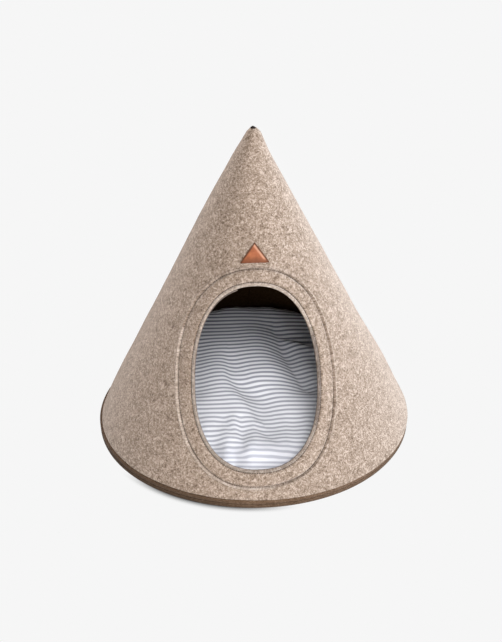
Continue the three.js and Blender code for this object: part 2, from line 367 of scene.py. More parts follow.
def doorPatch():
    edge, way, _ = evenDoorPoints(feltWall["doorPoints"] + 1)
    rings = [edge + way * ring / 1000 for ring in feltWall["doorRings"]]
    outward = rings[-1] - [0, -door["centre"]]
    outward = outward / np.linalg.norm(outward, axis=1)[:, None]
    border = np.array([borderPoint(one) for one in outward])
    corners = []
    for side in (1, -1):
        for slant in (footSlant, feltWall["capSlant"]):
            corner = flatPoints(side * math.radians(feltWall["sideTurn"]), slant)
            nearest = int(np.argmin(np.linalg.norm(border[:-1] - corner, axis=1)))
            border[nearest] = corner
            corners.append(nearest)
    rings += [rings[-1] * (1 - share) + border * share for share in feltWall["patchShares"]]
    return np.array(rings), border, corners


def backTurns(slant):
    # columns from the door's patch to the back seam, evenly spaced until close to the seam
    near = math.pi - np.array(feltWall["seamColumns"]) / 1000 / (slant * sinHalf)
    far = np.linspace(math.radians(feltWall["sideTurn"]), near[0], feltWall["backColumns"], endpoint=False)
    return np.concatenate([far, near])


def wallGrids():
    patch, border, (rightFoot, rightTop, leftFoot, leftTop) = doorPatch()
    rightSlants = np.linalg.norm(border[rightFoot:rightTop + 1], axis=1)
    leftSlants = np.linalg.norm(border[leftTop:leftFoot + 1], axis=1)
    rightBack = np.array([flatPoints(backTurns(slant), slant) for slant in rightSlants])
    leftBack = np.array([flatPoints(-backTurns(slant), slant) for slant in leftSlants])
    top = border[rightTop:leftTop + 1]
    topTurns = np.arctan2(top[:, 0], -top[:, 1]) / sinHalf
    capSlants = [feltWall["capSlant"]] + [row / 1000 for row in feltWall["capRows"]] + [topSlant]
    cap = []
    for slant in capSlants:
        back = backTurns(slant)
        cap.append(flatPoints(np.concatenate([back[::-1], topTurns[1:-1], -back]), slant))
    return [patch, rightBack, leftBack, np.array(cap)]


def hump(value, at, half):
    # value in metres, at and half in millimetres
    return np.exp(-((value - at / 1000) / (half / 1000)) ** 2)


def rowOffset(row, way):
    # millimetres from the door's edge, closer above the door
    out = row["at"] + (row["atTop"] - row["at"]) * np.clip(way[:, 1], 0, 1) ** 3
    for wander in feltWall["outerWanders"] if row["name"] == "outer" else []:
        angle = math.radians(wander["angle"])
        toward = np.clip(way @ [math.cos(angle), math.sin(angle)], 0, 1)
        out = out + wander["out"] * toward ** wander["sharp"]
    return out


def feltRelief(flat):
    wall = feltWall
    offset, way = doorOffsets(flat)
    rise = np.zeros(len(flat))
    for row in wall["stitchRows"]:
        middle = rowOffset(row, way)
        half = np.where(offset < middle / 1000, row["inward"], row["outward"])
        rise = rise - row["depth"] * hump(offset, middle, half)
    rise = rise - wall["rollDrop"] * (1 - smoothStep(offset, 0, wall["rollReach"] / 1000))
    rise = rise + wall["bandRise"] * hump(offset, wall["bandAt"], wall["bandHalf"])
    shoulder = rowOffset(wall["stitchRows"][1], way) + wall["shoulderGap"]
    rise = rise + wall["shoulderRise"] * hump(offset, shoulder, wall["shoulderHalf"])
    for row in (0, wall["seamStitch"]):
        rise = rise - wall["seamDepth"] * hump(fromBackSeam(flat), row, wall["seamHalf"])
    slant = np.hypot(flat[:, 0], flat[:, 1])
    rise = rise - wall["noseDrop"] * (1 - smoothStep(slant, topSlant, topSlant + wall["noseReach"] / 1000))
    return rise / 1000


def feltWaves(flat):
    places = rollUp(flat, np.zeros(len(flat)))
    return sum(height * unevenness(places, turns) for turns, height in feltWall["waves"])


def wallFaces(piece):
    # the finish of each face, read while the wall is flat
    wall, thick, highlight = feltWall, cone["thick"], feltWall["highlightBand"]
    places = placesOf(piece)
    offset, way = doorOffsets(places[:, :2])
    corners = [list(face.vertices) for face in piece.data.polygons]

    def faceMean(values):
        return np.array([values[one].mean(axis=0) for one in corners])

    level, fromDoor = faceMean(places[:, 2]), faceMean(offset)
    side, up = faceMean(way).T
    # the lip's felt by the way it faces: painted light on its top, painted shade on its right side
    lip = np.where(up > wall["lipUp"], litTopFace, np.where(side > wall["lipSide"], shadedCutFace, lipFace))
    finish = np.where(fromDoor < wall["edgeBand"] / 1000, lip, beigeFace)
    fromRow = offset - rowOffset(wall["stitchRows"][1], way) / 1000
    highlightAngle = math.radians(highlight["angle"])
    fromRow[way @ [math.cos(highlightAngle), math.sin(highlightAngle)] < highlight["toward"]] = 1    # too far round to take the painted highlight
    fromRow = faceMean(fromRow) * 1000
    # painted highlight: a paler felt on the shoulder outside the outer row
    finish[(fromRow > highlight["near"]) & (fromRow < highlight["far"])] = highlightFace
    # painted shade on the cut faces at the door's edge
    finish[(fromDoor < wall["cutBand"] / 1000) & (level < -wall["edge"] / 2)] = shadedCutFace
    seamEnd = faceMean(fromBackSeam(places)) < 2 * wall["edge"]
    # the inner faces: a dark brown lining, made near-black as painted shade inside the cone
    finish[level < -wall["liningAndShadeFrom"] * thick] = liningAndShadeFace
    finish[seamEnd & (level < -wall["seamLiningAndShadeFrom"] * thick)] = liningAndShadeFace
    return finish


def buildFeltWall():
    piece, flatArea = patternPiece(feltWall["name"], wallGrids(), cone["thick"])
    softenEdges(piece, feltWall["edge"], feltWall["edgeSteps"])
    finish = wallFaces(piece)
    places = placesOf(piece)
    flat, level = places[:, :2], places[:, 2]
    slant = np.linalg.norm(flat, axis=1)
    upper = np.clip(1 + level / cone["thick"], 0, 1)
    level = level + upper * feltRelief(flat) + feltWaves(flat)
    nearFoot = smoothStep(slant, footSlant - feltWall["footCutFrom"], footSlant - feltWall["footCutTo"])
    footCut = np.minimum(level * math.tan(halfAngle) * nearFoot, 0)
    flat = flat * ((slant + footCut) / slant)[:, None]
    setPlaces(piece, rollUp(flat, level))
    piece.data.polygons.foreach_set("material_index", finish)
    shadeSmooth(piece)
    return piece, flatArea


wallPiece, wallArea = buildFeltWall()
print("felt wall rolled:", len(wallPiece.data.polygons), "faces, flat area", round(wallArea, 4))


# The facing: a ring of felt behind the door's edge, its two ends meeting beside the top

facing = dict(
    name="door_facing_ring", thick=0.003, gap=0.0003, points=220, edge=0.0008, edgeSteps=2,
    rings=[2.5, 4, 6, 9, 14, 20, 27, 35],    # millimetres from the door's edge
    jointAcross=-0.027, jointSpare=0.0002,
    proud=0.0052, fade=0.05, fadePower=1.5,    # the end beside the joint stands proud
)


def buildFacing():
    above = np.flatnonzero(doorLine[:, 1] > -door["centre"])
    joint = above[np.argmin(np.abs(doorLine[above, 0] - facing["jointAcross"]))]
    edge, way, around = evenDoorPoints(facing["points"], reachAlong(doorLine)[joint], facing["jointSpare"])
    fromJoint = np.linspace(0, around, facing["points"])
    proud = facing["proud"] * np.exp(-(fromJoint / facing["fade"]) ** facing["fadePower"])
    rings = []
    for ring in facing["rings"]:
        rings.append(edge + way * (ring / 1000 - proud * (1 - ring / facing["rings"][-1]))[:, None])
    piece, flatArea = patternPiece(facing["name"], [np.array(rings)], facing["thick"])
    softenEdges(piece, facing["edge"], facing["edgeSteps"])
    places = placesOf(piece)
    rise = places[:, 2] - cone["thick"] - facing["gap"]
    setPlaces(piece, rollUp(places[:, :2], rise + feltWaves(places[:, :2])))
    shadeSmooth(piece)
    return piece, flatArea


facingPiece, facingArea = buildFacing()
print("facing rolled, flat area", round(facingArea, 4))


# The brown felt foot: a ring under the wall and the round base under it

foot = dict(
    sides=240, edge=0.0018, edgeSteps=4, cutRadius=0.2605, hemWidth=0.0105, baseInset=0.03,
    wave=0.0004, waveRadius=14 / 6, roughFrom=0.2, baseSeed=3, hemSeed=8,    # the rim's unevenness
)


def roughenRim(piece, seed):
    places = placesOf(piece)
    radius = np.hypot(places[:, 0], places[:, 1])
    turn = np.arctan2(places[:, 1], places[:, 0])
    ring = np.column_stack([np.cos(turn), np.sin(turn), np.full(len(turn), seed / foot["waveRadius"])])
    shift = foot["wave"] * unevenness(ring, foot["waveRadius"])
    away = np.degrees(np.arctan2(places[:, 0], -places[:, 1])) - footDraw["turn"]
    shift += footDraw["out"] * np.exp(-(((away + 180) % 360 - 180) / footDraw["turnReach"]) ** 2)
    shift = shift * (radius > foot["roughFrom"])
    scale = (radius + shift) / np.maximum(radius, 1e-6)
    setPlaces(piece, places * np.column_stack([scale, scale, np.ones(len(scale))]))


def finishFoot(piece, seed):
    # from edit mode: outward faces, rounded edges, an uneven rim and the flat map
    bpy.ops.mesh.select_all(action="SELECT")
    bpy.ops.mesh.normals_make_consistent(inside=False)
    editDone()
    softenEdges(piece, foot["edge"], foot["edgeSteps"])
    roughenRim(piece, seed)
    setFlatMap(piece, placesOf(piece))
    shadeSmooth(piece)
    return piece


def buildBase():
    low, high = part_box("base_disc")
    radius, thick = (high.x - low.x) / 2, high.z - low.z
    bpy.ops.object.select_all(action="DESELECT")
    bpy.ops.mesh.primitive_circle_add(vertices=foot["sides"], radius=radius, fill_type="NGON")
    piece = bpy.context.object
    piece.name = "base_felt"
    editAll(piece, "FACE")
    bpy.ops.mesh.inset(thickness=foot["baseInset"])
    bpy.ops.mesh.select_all(action="SELECT")
    bpy.ops.mesh.extrude_region_move(TRANSFORM_OT_translate={"value": (0, 0, thick)})
    return finishFoot(piece, foot["baseSeed"])


def buildHem():
    low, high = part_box("hem_ring")
    radius, thick = (high.x - low.x) / 2, high.z - low.z
    inner = radius - foot["hemWidth"]
    bpy.ops.object.select_all(action="DESELECT")
    bpy.ops.mesh.primitive_circle_add(vertices=foot["sides"], radius=radius, fill_type="NOTHING",
                                      location=(0, 0, low.z))
    piece = bpy.context.object
    piece.name = "hem_felt"
    bpy.ops.object.transform_apply(location=True, rotation=True, scale=True)
    editAll(piece, "EDGE")
    bpy.ops.mesh.extrude_region_move(TRANSFORM_OT_translate={"value": (0, 0, thick)})
    bpy.ops.mesh.extrude_region_move()
    bpy.ops.transform.resize(value=(inner / radius, inner / radius, 1), center_override=(0, 0, high.z))
    bpy.ops.mesh.extrude_region_move(TRANSFORM_OT_translate={"value": (0, 0, -thick)})
    bpy.ops.mesh.select_all(action="DESELECT")
    mesh = bmesh.from_edit_mesh(piece.data)
    for edge in mesh.edges:
        edge.select = edge.is_boundary
    mesh.select_flush_mode()
    bmesh.update_edit_mesh(piece.data)
    bpy.ops.mesh.bridge_edge_loops()
    return finishFoot(piece, foot["hemSeed"])


basePiece = buildBase()
hemPiece = buildHem()
print("base and hem cut")


# The ticking pad: the solid remeshed, blown up a little as cloth, then creased

pad = dict(
    name="ticking_pad", voxel=0.005, shrink=0.0022, frames=20, cap=0.004, clear=0.0012,
    wave=0.0007, waveTurns=24, topFrom=0.045, topTo=0.055,    # only the cover above topFrom moves
    middle=0.075, tilt=0.1, sideTilt=-0.03,    # the top's plane, which the stripes follow
    sideFrom=0.018, slopeShare=1.2, rimFrom=0.17, rimTo=0.2,
    rearFrom=0.12, rearTo=0.19, rearLift=0.0072, rearReach=0.006,
    frontFrom=0.07, frontTo=0.13, ripple=0.0036, rippleTurns=44, rippleLong=0.35, rippleSeed=4.3,
    facingTurn=0.75,
)
padCloth = dict(
    quality=5, mass=0.3, tension_stiffness=15, compression_stiffness=15, bending_stiffness=0.5,
    use_pressure=True, uniform_pressure_force=4,
)
padCreases = [    # along a route of (x, y, drop): steep on its left or front side, easy on the other
    dict(fold="right", steep=0.006, easy=0.014,
         route=[(0.043, 0.130, 0.0010), (0.056, 0.058, 0.0035), (0.085, -0.038, 0.0030)]),
    dict(fold="left", steep=0.007, easy=0.024,
         route=[(-0.041, 0.060, 0.0008), (-0.036, -0.013, 0.0026), (-0.016, -0.057, 0.0030)]),
    dict(fold="left", steep=0.007, easy=0.022, route=[(-0.016, -0.057, 0.0030), (0.006, -0.111, 0.0016)]),
    dict(fold="leftSide", steep=0.028, easy=0.028, route=[(-0.100, 0.085, 0.0040), (-0.100, -0.035, 0.0066)]),
    dict(fold="frontLeft", steep=0.024, easy=0.024,
         route=[(-0.092, -0.120, 0.0030), (-0.074, -0.175, 0.0075), (-0.040, -0.205, 0.0050)]),
    dict(fold="crown", steep=0.050, easy=0.050, route=[(0.000, 0.130, -0.0020), (-0.020, 0.000, -0.0026)]),
    dict(fold="tuck", steep=0.006, easy=0.018, route=[(0.046, 0.115, 0.001), (0.118, 0.072, 0.011)]),
    dict(fold="tuckCrest", steep=0.016, easy=0.01, route=[(0.056, 0.098, -0.001), (0.124, 0.056, -0.006)]),
    dict(fold="gatherLeft", steep=0.006, easy=0.006,
         route=[(-0.050, -0.114, 0.0014), (-0.038, -0.148, 0.0022)]),
    dict(fold="gatherMiddle", steep=0.006, easy=0.006,
         route=[(-0.024, -0.114, 0.0022), (-0.021, -0.182, 0.0016)]),
    dict(fold="gatherRight", steep=0.006, easy=0.008,
         route=[(0.004, -0.140, 0.0018), (0.030, -0.172, 0.0012)]),
]


def blowUp(piece):
    before = placesOf(piece)
    pick(piece)
    cloth = piece.modifiers.new("Cloth", "CLOTH")
    for key, value in padCloth.items():
        setattr(cloth.settings, key, value)
    cloth.settings.effector_weights.gravity = 0
    cloth.point_cache.frame_start = 1
    cloth.point_cache.frame_end = pad["frames"]
    for step in range(1, pad["frames"] + 1):
        bpy.context.scene.frame_set(step)
    bpy.ops.object.modifier_apply(modifier=cloth.name)
    bpy.context.scene.frame_set(1)
    move = placesOf(piece) - before
    length = np.linalg.norm(move, axis=1)
    setPlaces(piece, before + move * np.minimum(1, pad["cap"] / np.maximum(length, 1e-9))[:, None])


def creaseAt(places):
    # the deepest stretch of each fold, and then all the folds together
    deepest = {}
    for row in padCreases:
        for first, last in zip(row["route"], row["route"][1:]):
            start = np.array(first[:2])
            along = np.array(last[:2]) - start
            share = np.clip((places[:, :2] - start) @ along / (along @ along), 0, 1)
            off = places[:, :2] - start - share[:, None] * along
            side = off[:, 0] * along[1] - off[:, 1] * along[0]
            away = np.linalg.norm(off, axis=1) / np.where(side > 0, row["steep"], row["easy"])
            drop = (first[2] + (last[2] - first[2]) * share) * np.exp(-away ** 2)
            other = deepest.get(row["fold"], np.zeros(len(places)))
            deepest[row["fold"]] = np.where(np.abs(drop) > np.abs(other), drop, other)
    return sum(deepest.values())


def keepInside(places):
    # the pad stays clear of the base below and of the facing and wall around it
    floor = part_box("cushion")[0].z
    places[:, 2] = np.maximum(places[:, 2], floor)
    turn = np.abs(np.arctan2(places[:, 0], -places[:, 1]))
    inside = cone["thick"] + (facing["thick"] + facing["gap"]) * (turn < pad["facingTurn"])
    room = (cone["apexHeight"] - places[:, 2]) * math.tan(halfAngle) - inside / cosHalf - pad["clear"]
    shift = cone["lean"] * places[:, 2] / cone["apexHeight"]
    radius = np.hypot(places[:, 0] - shift, places[:, 1])
    scale = np.minimum(1, room / np.maximum(radius, 1e-6))
    places[:, 0] = shift + (places[:, 0] - shift) * scale
    places[:, 1] = places[:, 1] * scale
    return places


def shapeCover(places):
    # the waves, ripples and creases of the pad's top, and its lifted rear
    top = smoothStep(places[:, 2], pad["topFrom"], pad["topTo"])
    rear = smoothStep(places[:, 1], pad["rearFrom"], pad["rearTo"])
    front = smoothStep(-places[:, 1], pad["frontFrom"], pad["frontTo"])
    across, along = pad["rippleTurns"], pad["rippleTurns"] * pad["rippleLong"]
    ripple = [noise.noise(Vector((x * across, y * along, pad["rippleSeed"]))) for x, y, _ in places]
    wave = pad["wave"] * unevenness(places, pad["waveTurns"]) + pad["ripple"] * front * np.array(ripple)
    places[:, 2] += top * (wave - creaseAt(places) + pad["rearLift"] * rear)
    places[:, 1] += top * pad["rearReach"] * rear
    return places


def coverMap(places):
    # the cover as seen from above, spread at its rim by how far it falls
    plane = pad["middle"] + pad["tilt"] * places[:, 1] + pad["sideTilt"] * places[:, 0]
    drop = np.maximum(0, plane - places[:, 2])
    down = pad["slopeShare"] * np.minimum(drop, pad["sideFrom"]) + np.maximum(0, drop - pad["sideFrom"])
    radius = np.maximum(np.hypot(places[:, 0], places[:, 1]), 1e-6)
    rim = smoothStep(radius, pad["rimFrom"], pad["rimTo"])
    return places[:, :2] * (1 + rim * down / radius)[:, None]


def buildPad():
    piece = bpy.data.objects.new(pad["name"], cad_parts["cushion"].data.copy())
    bpy.context.scene.collection.objects.link(piece)
    editAll(piece)
    bpy.ops.mesh.remove_doubles(threshold=1e-5)
    editDone()
    applyModifier(piece, "REMESH", mode="VOXEL", voxel_size=pad["voxel"])
    editAll(piece)
    bpy.ops.transform.shrink_fatten(value=-pad["shrink"])
    editDone()
    blowUp(piece)
    applyModifier(piece, "SUBSURF", levels=1, render_levels=1)
    places = keepInside(shapeCover(placesOf(piece)))
    setPlaces(piece, places)
    setFlatMap(piece, coverMap(places))
    shadeSmooth(piece, 180)
    return piece


padPiece = buildPad()
print("pad filled:", len(padPiece.data.polygons), "faces")


# The leather triangle above the door

leather = dict(
    name="leather_label", width=0.0445, height=0.031, foot=0.2138, across=0.0011, thick=0.002, gap=0.0003,
    corner=0.0022, cornerSteps=4, sideCuts=11, edge=0.0005, edgeSteps=2, crown=0.0004,
    rim=0.0008, innerShares=[0.9, 0.78, 0.6],    # each inner outline, as a share of the one around it
)


def labelMiddle():
    # the centre of the triangle's inscribed circle
    side = math.hypot(leather["width"] / 2, leather["height"])
    reach = leather["width"] * leather["height"] / (leather["width"] + 2 * side)
    return Vector((leather["across"], reach - leather["foot"], 0))


def buildLabel():
    half, thick = leather["width"] / 2, leather["thick"]
    bpy.ops.object.select_all(action="DESELECT")
    bpy.ops.mesh.primitive_circle_add(vertices=3, radius=half, fill_type="NGON")
    piece = bpy.context.object
    piece.name = leather["name"]
    corners = sorted(piece.data.vertices, key=lambda corner: -corner.co.y)
    corners[1:] = sorted(corners[1:], key=lambda corner: corner.co.x)
    for corner, (x, y) in zip(corners, [(0, leather["height"]), (-half, 0), (half, 0)]):
        corner.co = (x + leather["across"], y - leather["foot"], 0)
    editAll(piece)
    bpy.ops.mesh.bevel(offset=leather["corner"], segments=leather["cornerSteps"], affect="VERTICES")
    bpy.ops.mesh.select_all(action="DESELECT")
    bpy.ops.mesh.select_mode(type="EDGE")
    mesh = bmesh.from_edit_mesh(piece.data)
    for edge in mesh.edges:
        edge.select = edge.calc_length() > leather["height"] / 2
    bmesh.update_edit_mesh(piece.data)
    bpy.ops.mesh.subdivide(number_cuts=leather["sideCuts"])
    bpy.ops.mesh.select_mode(type="FACE")
    bpy.ops.mesh.select_all(action="SELECT")
    middle = labelMiddle()
    bpy.ops.mesh.inset(thickness=leather["rim"])
    for share in leather["innerShares"]:
        bpy.ops.mesh.extrude_region_move()
        bpy.ops.transform.resize(value=(share, share, 1), center_override=middle)
    bpy.ops.mesh.poke()
    editDone()
    faceUp(piece)
    applyModifier(piece, "SOLIDIFY", thickness=thick, offset=-1)
    softenEdges(piece, leather["edge"], leather["edgeSteps"])
    places = placesOf(piece)
    setFlatMap(piece, places)
    fromMiddle = np.linalg.norm(places[:, :2] - middle.xy, axis=1) / leather["height"]
    crown = leather["crown"] * np.clip(1 - (fromMiddle * 2) ** 2, 0, 1)
    rise = places[:, 2] + thick + leather["gap"] + crown * (places[:, 2] > -thick / 2)
    setPlaces(piece, rollUp(places[:, :2], rise))
    shadeSmooth(piece)
    return piece


labelPiece = buildLabel()
print("label cut")


# The dark felt tip in the cone's top hole

tip = dict(
    name="felt_tip", sides=28, footRadius=0.0072, neckRadius=0.0036, neck=0.0115, top=0.5095,
    domeSteps=[(0.0, 1.3), (0.0018, 0.62), (0.0013, 0.45)],    # each step's rise, then scale
    crownInset=0.0004, wave=0.0003, waveTurns=260, waveSeed=5,
)


def buildTip():
    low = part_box("apex_tip")[0].z
    bpy.ops.object.select_all(action="DESELECT")
    bpy.ops.mesh.primitive_cone_add(
        vertices=tip["sides"], radius1=tip["footRadius"], radius2=tip["neckRadius"], depth=tip["neck"],
        location=(0, 0, low + tip["neck"] / 2))
    piece = bpy.context.object
    piece.name = tip["name"]
    bpy.ops.object.transform_apply(location=True, rotation=True, scale=True)
    editAll(piece, "FACE")
    bpy.ops.mesh.select_all(action="DESELECT")
    mesh = bmesh.from_edit_mesh(piece.data)
    for face in mesh.faces:
        face.select = face.normal.z > 0.9
    bmesh.update_edit_mesh(piece.data)
    for rise, scale in tip["domeSteps"]:
        bpy.ops.mesh.extrude_region_move(TRANSFORM_OT_translate={"value": (0, 0, rise)})
        bpy.ops.transform.resize(value=(scale, scale, 1))
    bpy.ops.mesh.inset(thickness=tip["crownInset"])
    editDone()
    applyModifier(piece, "SUBSURF", levels=2, render_levels=2)
    places = placesOf(piece)
    places[:, 2] = low + (places[:, 2] - low) * (tip["top"] - low) / (places[:, 2].max() - low)
    noise.seed_set(tip["waveSeed"])    # noise_vector differs from run to run without it
    fuzz = np.array([noise.noise_vector(Vector(place) * tip["waveTurns"]) for place in places])
    setFlatMap(piece, places[:, [0, 2]])
    setPlaces(piece, leaned(places + tip["wave"] * fuzz))
    shadeSmooth(piece, 60)
    return piece


tipPiece = buildTip()
print("tip set")


# Stitches: one waxed thread stitch, laid along each row

stitch = dict(
    pitch=0.0036, length=0.0034, sides=6, rings=7, dip=0.0006, taper=0.9,
    proud=0.5,    # how far a stitch's middle lies above the felt, in thread radii
    probe=0.001, tilt=0.05, tiltStep=0.7, tiltSeed=0.5, doorPoints=600,
    seamPoints=200, seamFoot=0.006, seamTop=0.012,    # the back seam's rows end short of the foot and tip
)


def oneStitch(radius):
    # a thread that rises from one hole and dips into the next
    sides, rings = stitch["sides"], stitch["rings"]
    points, faces = [], []
    for along in np.linspace(-1, 1, rings):
        thick = radius * math.sqrt(1 - stitch["taper"] * along ** 6)
        height = -stitch["dip"] * along ** 4
        for angle in np.arange(sides) / sides * 2 * math.pi:
            across, up = thick * math.cos(angle), thick * math.sin(angle)
            points.append((along * stitch["length"] / 2, across, height + up))
    for ring in range(rings - 1):
        for side in range(sides):
            after = (side + 1) % sides
            faces.append((ring * sides + side, ring * sides + after,
                          (ring + 1) * sides + after, (ring + 1) * sides + side))
    faces.append(tuple(reversed(range(sides))))
    faces.append(tuple(range((rings - 1) * sides, rings * sides)))
    return np.array(points), faces


def stitchRow(name, flatLine, felt, radius):
    # lays stitches along a flat line of points, on the felt's face
    rise = felt + radius * stitch["proud"]
    reach = reachAlong(flatLine)
    count = round(reach[-1] / stitch["pitch"])
    points, faces = oneStitch(radius)
    allPoints, allFaces = [], []
    for index in range(count):
        middle = (index + 0.5) * reach[-1] / count
        flat = pointsAt(flatLine, reach, middle + np.array([-1, 0, 1]) * stitch["probe"])
        under = rollUp(flat[1:2], np.array([rise - stitch["probe"]]))[0]
        before, centre, after = rollUp(flat, np.full(3, rise))
        along = Vector(after - before).normalized()
        out = Vector(centre - under).normalized()
        tilt = noise.noise(Vector((index * stitch["tiltStep"], reach[-1], stitch["tiltSeed"])))
        along = (along + out.cross(along) * stitch["tilt"] * tilt).normalized()
        axes = np.array([along, out.cross(along), out])
        allFaces.extend(tuple(corner + index * len(points) for corner in face) for face in faces)
        allPoints.append(points @ axes + centre)
    piece = newPiece(name, np.vstack(allPoints).tolist(), allFaces)
    shadeSmooth(piece, 60)
    return piece


def doorStitches(row):
    edge, way, _ = evenDoorPoints(stitch["doorPoints"])
    line = edge + way * rowOffset(row, way)[:, None] / 1000
    return stitchRow(f"door_stitches_{row['name']}", line, feltRelief(line[:1])[0], row["thread"])


def seamStitches(name, side):
    slant = np.linspace(footSlant - stitch["seamFoot"], topSlant + stitch["seamTop"], stitch["seamPoints"])
    turn = math.pi - feltWall["seamStitch"] / 1000 / (slant * sinHalf)
    line = flatPoints(side * turn, slant)
    return stitchRow(f"seam_stitches_{name}", line, -feltWall["seamDepth"] / 1000, feltWall["seamThread"])


threadPieces = [doorStitches(row) for row in feltWall["stitchRows"]]
threadPieces += [seamStitches("right", 1), seamStitches("left", -1)]
print("stitches laid:", sum(len(one.data.polygons) for one in threadPieces), "faces")


# Finishes

def newMaterial(name, roughness):
    material = bpy.data.materials.new(name)
    material.use_nodes = True
    tree = material.node_tree
    shader = tree.nodes["Principled BSDF"]
    shader.inputs["Roughness"].default_value = roughness
    return material, tree, shader


def addNode(tree, kind, inputs, **settings):
    made = tree.nodes.new("ShaderNode" + kind)
    for key, value in settings.items():
        setattr(made, key, value)
    for key, value in inputs.items():
        if isinstance(value, bpy.types.NodeSocket):
            tree.links.new(value, made.inputs[key])
        else:
            made.inputs[key].default_value = value
    return made


def flatPlace(tree):
    return addNode(tree, "UVMap", {}, uv_map="flat").outputs[0]


def objectPlace(tree):
    return addNode(tree, "TexCoord", {}).outputs["Object"]


def noiseNode(tree, place, output="Fac", **inputs):
    return addNode(tree, "TexNoise", {"Vector": place, **inputs}).outputs[output]


def mathNode(tree, operation, first, second=0.0):
    return addNode(tree, "Math", {0: first, 1: second}, operation=operation).outputs[0]


def mixColour(tree, share, first, second, blend="MIX"):
    mix = addNode(tree, "Mix", {0: share, 6: first, 7: second}, data_type="RGBA", blend_type=blend)
    return mix.outputs[2]


def ramp(tree, share, stops):
    made = addNode(tree, "ValToRGB", {0: share})
    band = made.color_ramp
    while len(band.elements) < len(stops):
        band.elements.new(0.5)
    for element, (place, colour) in zip(band.elements, stops):
        element.position = place
        element.color = (*colour, 1)
    return made.outputs[0]


def softBand(tree, value, clear, full):
    # 1 below full, fading to 0 at clear
    ends = {"Value": value, "From Min": full, "From Max": clear, "To Min": 1, "To Max": 0}
    return addNode(tree, "MapRange", ends, interpolation_type="SMOOTHSTEP").outputs[0]


def dress(tree, shader, colour, height, strength, depth, gloss):
    # the colour, a bump of this depth in metres and how much the finish shines
    bump = addNode(tree, "Bump", {"Height": height, "Strength": strength, "Distance": depth})
    tree.links.new(colour, shader.inputs["Base Color"])
    tree.links.new(bump.outputs[0], shader.inputs["Normal"])
    shader.inputs["Specular IOR Level"].default_value = gloss


feltLook = dict(
    roughness=0.92, driftScale=60, drift=0.012,    # the fibres wander, drift in metres
    fibreTurns=(8, 52, 97, 141), fibresAlong=150, fibresAcross=560, fibreShare=0.13,
    fleckScale=420, fleckShare=0.5, mottleScale=55, mottleShare=0.42,
    darkShares=(0.45, 0.40, 0.35), lightShare=1.3, lightGrey=0.5,    # the dark fibres are warmer
    leftShadeFrom=0.0, leftShadeFull=-0.10, leftShadeShare=0.36, leftShadeTone=(0.01, 0.006, 0.004, 1),    # painted shade: the solid brown felt is darkened towards the left
    bump=0.35, bumpDepth=0.0012, gloss=0.12, sheenRoughness=0.55, sheenTint=(1, 0.97, 0.94, 1),
)


def feltFinish(name, middle, contrast, sheen, solid=False):
    # melange felt: light and dark fibres lying all ways over fine flecks and a slow mottle
    look = feltLook
    material, tree, shader = newMaterial(name, look["roughness"])
    place = objectPlace(tree) if solid else flatPlace(tree)
    drift = noiseNode(tree, place, "Color", Scale=look["driftScale"], Detail=2)
    drift = addNode(tree, "VectorMath", {0: drift, 1: (0.5, 0.5, 0.5)}, operation="SUBTRACT").outputs[0]
    drift = addNode(tree, "VectorMath", {0: drift, "Scale": look["drift"]}, operation="SCALE").outputs[0]
    place = addNode(tree, "VectorMath", {0: place, 1: drift}, operation="ADD").outputs[0]
    fibre = (1 / look["fibresAlong"], 1 / look["fibresAcross"], 1 / look["fibresAcross"])
    melange = 0.0
    for angle in look["fibreTurns"]:
        lie = {"Location": (angle, 0, 0), "Rotation": (0, 0, math.radians(angle)), "Scale": fibre}
        turned = addNode(tree, "Mapping", {"Vector": place, **lie}, vector_type="TEXTURE").outputs[0]
        streak = noiseNode(tree, turned, Scale=1, Detail=1)
        streak = addNode(tree, "MapRange", {"Value": streak, "From Min": 0.3, "From Max": 0.7, "To Min": -1},
                         interpolation_type="SMOOTHSTEP").outputs[0]
        melange = mathNode(tree, "ADD", melange, streak)
    melange = mathNode(tree, "MULTIPLY", melange, look["fibreShare"] * contrast)
    flecks = noiseNode(tree, place, Scale=look["fleckScale"], Detail=3, Roughness=0.65)
    mottle = noiseNode(tree, place, Scale=look["mottleScale"], Detail=2)
    for spots, share in ((flecks, look["fleckShare"]), (mottle, look["mottleShare"])):
        spots = mathNode(tree, "MULTIPLY", mathNode(tree, "SUBTRACT", spots, 0.5), share * contrast)
        melange = mathNode(tree, "ADD", melange, spots)
    melange = mathNode(tree, "ADD", melange, 0.5)
    grey = sum(middle) / 3
    dark = [share * part for share, part in zip(look["darkShares"], middle)]
    light = [look["lightShare"] * part + look["lightGrey"] * grey for part in middle]
    colour = ramp(tree, melange, [(0.0, dark), (0.5, middle), (1.0, light)])
    if solid:    # painted shade: the solid felt is darkened towards the left, where less light reaches it
        across = addNode(tree, "SeparateXYZ", {0: place}).outputs[0]
        left = softBand(tree, across, look["leftShadeFrom"], look["leftShadeFull"])
        left = mathNode(tree, "MULTIPLY", left, look["leftShadeShare"])
        colour = mixColour(tree, left, colour, look["leftShadeTone"])
    dress(tree, shader, colour, melange, look["bump"], look["bumpDepth"], look["gloss"] if sheen else 0.0)
    shader.inputs["Sheen Weight"].default_value = sheen
    shader.inputs["Sheen Roughness"].default_value = look["sheenRoughness"]
    shader.inputs["Sheen Tint"].default_value = look["sheenTint"]
    return material


ticking = dict(
    pitch=0.010, centre=-0.213, turn=1.45, darkHalf=0.0023, soft=0.0009,    # metres and degrees
    paleLitFrom=0.09, paleLitTo=-0.11, stripe=(0.23, 0.235, 0.285, 1), paleLitStripe=(0.40, 0.405, 0.455, 1),
    frontFrom=-0.162, frontTo=-0.192, white=(0.815, 0.815, 0.855, 1), shadedFrontWhite=(0.66, 0.66, 0.70, 1),
    weaveScale=320, weaveWobble=0.4, slubScale=260, slubShare=0.14, slubTone=(0.6, 0.6, 0.63, 1),
    roughness=0.85, bump=0.2, bumpDepth=0.0003, gloss=0.2, sheen=0.1,
)


